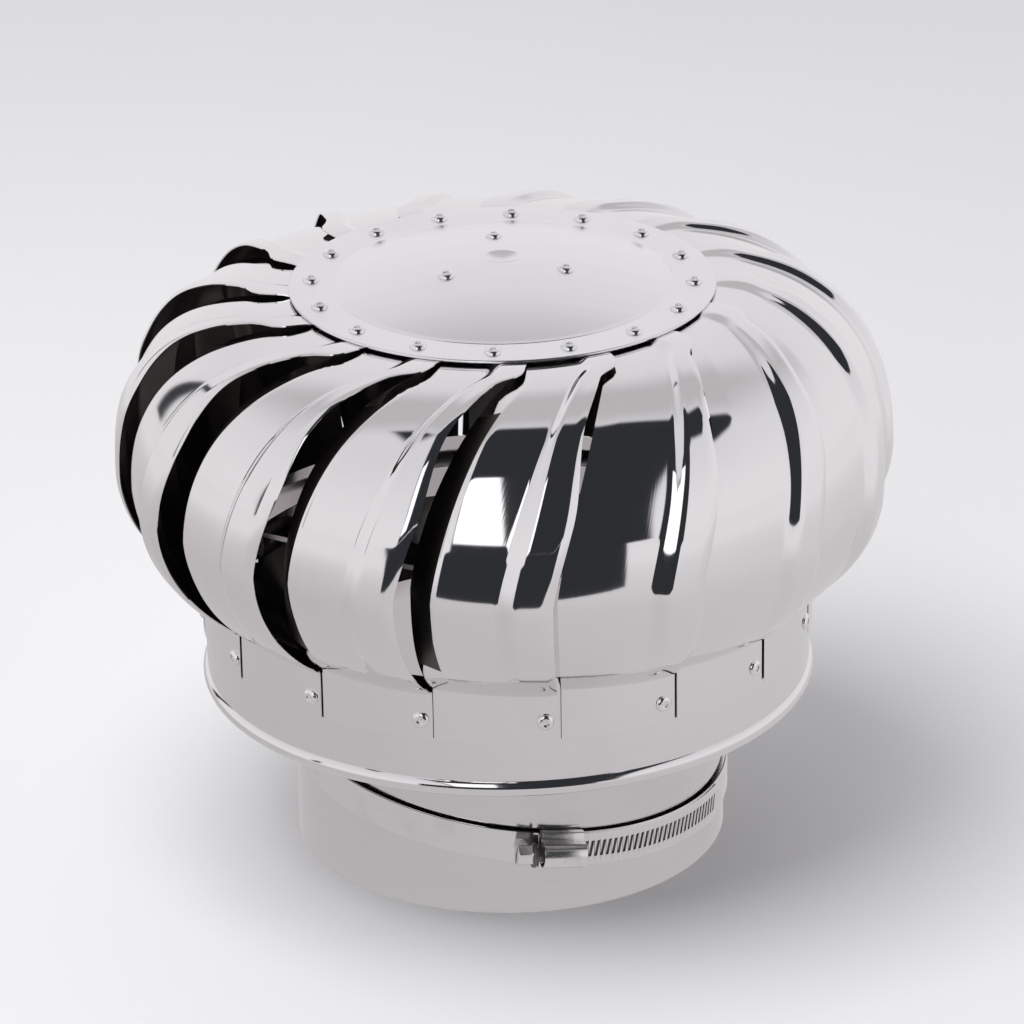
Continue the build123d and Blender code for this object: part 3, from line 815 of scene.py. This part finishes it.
# floor, light and camera
studio = {
    "floorSize": 12.0, "floorCells": 8, "floorColour": (0.86, 0.86, 0.87, 1),
    "floorCloud": (0.82, 0.82, 0.83, 1), "cloudScale": 3.0, "floorRough": 0.7,
    # painted reflection: floor tones seen only in the metal, darker near the object (painted shade) and to
    # the left
    "reflectedFloorFar": (0.84, 0.825, 0.84, 1), "farSpan": (0.18, 1.1),
    "reflectedFloorLeft": (0.54, 0.52, 0.525, 1), "reflectedFloorRight": (0.66, 0.645, 0.655, 1),
    "sideSpan": (-0.5, 0.5), "paleWall": (0.86, 0.845, 0.86, 1), "paleTop": (0.76, 0.75, 0.77, 1),
    "paleSpan": (0.1, 0.9), "greyTop": (0.55, 0.54, 0.55, 1), "greyUp": (1.75, 2.3, 0.15),
    "greyAcross": (-0.6, 0.6, 0.2),
    "darkRoom": (0.03, 0.032, 0.036, 1), "darkAcross": (-0.36, 0.62, 0.02), "darkUp": (-0.9, 1.70, 0.03),
    "boxWhite": (1.35, 1.35, 1.37, 1), "boxAcross": (-0.34, -0.08, 0.006), "boxUp": (0.06, 0.92, 0.012),
    "seen": (0.9, 0.9, 0.91, 1), "slitSoft": 0.01,
    "slits": [
        {"turn": 2.37, "half": 0.05, "height": 0.1, "reach": 0.5},
        {"turn": -2.85, "half": 0.035, "height": 0.0, "reach": 0.35},
    ],
    "card": {"x": (-0.26, 0.24), "y": -0.47, "top": 0.16},
    "lamp": {"place": (-0.5, -0.4, 1.8), "aim": (0, 0, 0.1), "size": 1.2, "power": 24},
}


def makeWorld():
    world = bpy.data.worlds.new("studio")
    bpy.context.scene.world = world
    world.use_nodes = True
    board = Board(world.node_tree)
    toward = board.add("ShaderNodeTexCoord", {}, {}, "Generated")
    x = board.add("ShaderNodeSeparateXYZ", {}, {"Vector": toward}, "X")
    rise = x.maths("ARCTAN2", x.other("Z"), 0 - x.other("Y"))
    high = board.ease(x.other("Z"), *studio["paleSpan"])
    pale = board.blendColours(high, studio["paleWall"], studio["paleTop"])
    grey = board.window(rise, *studio["greyUp"]) * board.window(x, *studio["greyAcross"])
    pale = board.blendColours(grey, pale, studio["greyTop"])
    dark = board.window(x, *studio["darkAcross"]) * board.window(rise, *studio["darkUp"])
    turn = x.maths("ARCTAN2", x.other("Y"), x)
    for slit in studio["slits"]:  # dark and lens-shaped
        height = (x.other("Z") - slit["height"]) * (1 / slit["reach"])
        aside = x.maths("ABSOLUTE", turn - slit["turn"], 0)
        within = slit["half"] * (1 - height * height) - aside
        inside = board.ease(within, -studio["slitSoft"], studio["slitSoft"])
        pale = board.blendColours(inside, pale, studio["darkRoom"])
    lit = board.window(x, *studio["boxAcross"]) * board.window(rise, *studio["boxUp"])
    room = board.blendColours(dark, pale, studio["darkRoom"])
    room = board.blendColours(lit, room, studio["boxWhite"])
    ray = board.add("ShaderNodeLightPath", {}, {}, "Is Camera Ray")
    seen = board.blendColours(ray, room, studio["seen"])
    light = board.add("ShaderNodeBackground", {}, {"Color": seen, "Strength": 1.0})
    board.add("ShaderNodeOutputWorld", {}, {"Surface": light})


def makeCard():  # a low dark card in front, seen only in the metal
    card = studio["card"]
    clearSelection()
    bpy.ops.mesh.primitive_plane_add(size=1)
    flag = bpy.context.object
    flag.name = "darkCard"
    corners = [(across, height) for height in (0, card["top"]) for across in card["x"]]
    for point, (across, height) in zip(flag.data.vertices, corners):
        point.co = (across, card["y"], height)
    cloth = bpy.data.materials.new("darkCloth")
    cloth.use_nodes = True
    board = Board(cloth.node_tree)
    black = board.add("ShaderNodeEmission", {}, {"Color": studio["darkRoom"], "Strength": 1.0})
    board.add("ShaderNodeOutputMaterial", {}, {"Surface": black})
    flag.data.materials.append(cloth)
    for sort in ("camera", "diffuse", "shadow", "transmission", "volume_scatter"):
        setattr(flag, "visible_" + sort, False)


def makeFloor():
    clearSelection()
    cells = studio["floorCells"]
    bpy.ops.mesh.primitive_grid_add(x_subdivisions=cells, y_subdivisions=cells, size=studio["floorSize"])
    floor = bpy.context.object
    floor.name = "studioFloor"
    paper = bpy.data.materials.new("floorPaper")
    paper.use_nodes = True
    board = Board(paper.node_tree)
    place = board.add("ShaderNodeTexCoord", {}, {}, "Object")
    cloud = board.add(
        "ShaderNodeTexNoise", {}, {"Vector": place, "Scale": studio["cloudScale"], "Detail": 2.0}
    )
    tone = board.blendColours(cloud, studio["floorColour"], studio["floorCloud"])
    matt = board.add("ShaderNodeBsdfPrincipled", {}, {"Base Color": tone, "Roughness": studio["floorRough"]})
    # painted reflection: glossy rays see the floor as an emitted tone, darker near the object and to the
    # left, paler far off; camera rays see the matt floor
    away = board.add("ShaderNodeVectorMath", {"operation": "LENGTH"}, {0: place}, "Value")
    side = board.add("ShaderNodeSeparateXYZ", {}, {"Vector": place}, "X")
    toRight = board.ease(side, *studio["sideSpan"])
    nearReflection = board.blendColours(toRight, studio["reflectedFloorLeft"], studio["reflectedFloorRight"])
    paintedReflection = board.blendColours(board.ease(away, *studio["farSpan"]), nearReflection, studio["reflectedFloorFar"])
    reflectionGlow = board.add("ShaderNodeEmission", {}, {"Color": paintedReflection, "Strength": 1.0})
    ray = board.add("ShaderNodeLightPath", {}, {}, "Is Glossy Ray")
    both = board.add("ShaderNodeMixShader", {}, {"Fac": ray, 1: matt, 2: reflectionGlow})
    board.add("ShaderNodeOutputMaterial", {}, {"Surface": both})
    floor.data.materials.append(paper)


def makeLamp():
    lamp = bpy.data.lights.new("topBox", "AREA")
    lamp.size = studio["lamp"]["size"]
    lamp.energy = studio["lamp"]["power"]
    holder = bpy.data.objects.new("topBox", lamp)
    bpy.context.scene.collection.objects.link(holder)
    place = Vector(studio["lamp"]["place"])
    holder.location = place
    holder.rotation_mode = "QUATERNION"
    holder.rotation_quaternion = (Vector(studio["lamp"]["aim"]) - place).to_track_quat("-Z", "Y")
    holder.visible_glossy = False


view = {
    "lens": 187.44, "sensor": 36, "pixels": 5331.6, "place": (0, -1.80088, 0.91098), "aimHeight": 0.08,
    "offAxis": (5.86, 109.32), "roll": 0.0161,
}


def makeCamera():
    data = bpy.data.cameras.new("photoView")
    data.lens = view["lens"]
    data.sensor_width = view["sensor"]
    camera = bpy.data.objects.new("photoView", data)
    bpy.context.scene.collection.objects.link(camera)
    place = Vector(view["place"])
    ahead = (Vector((0, 0, view["aimHeight"])) - place).normalized()
    right = Vector((1, 0, 0))
    up = right.cross(ahead)
    look = ahead * view["pixels"] + right * view["offAxis"][0] + up * view["offAxis"][1]
    camera.location = place
    camera.rotation_mode = "QUATERNION"
    camera.rotation_quaternion = look.to_track_quat("-Z", "Y") @ Quaternion((0, 0, 1), -view["roll"])
    bpy.context.scene.camera = camera


makeWorld()
makeFloor()
makeCard()
makeLamp()
makeCamera()
bpy.context.scene.view_settings.view_transform = "Standard"
print("studio set")
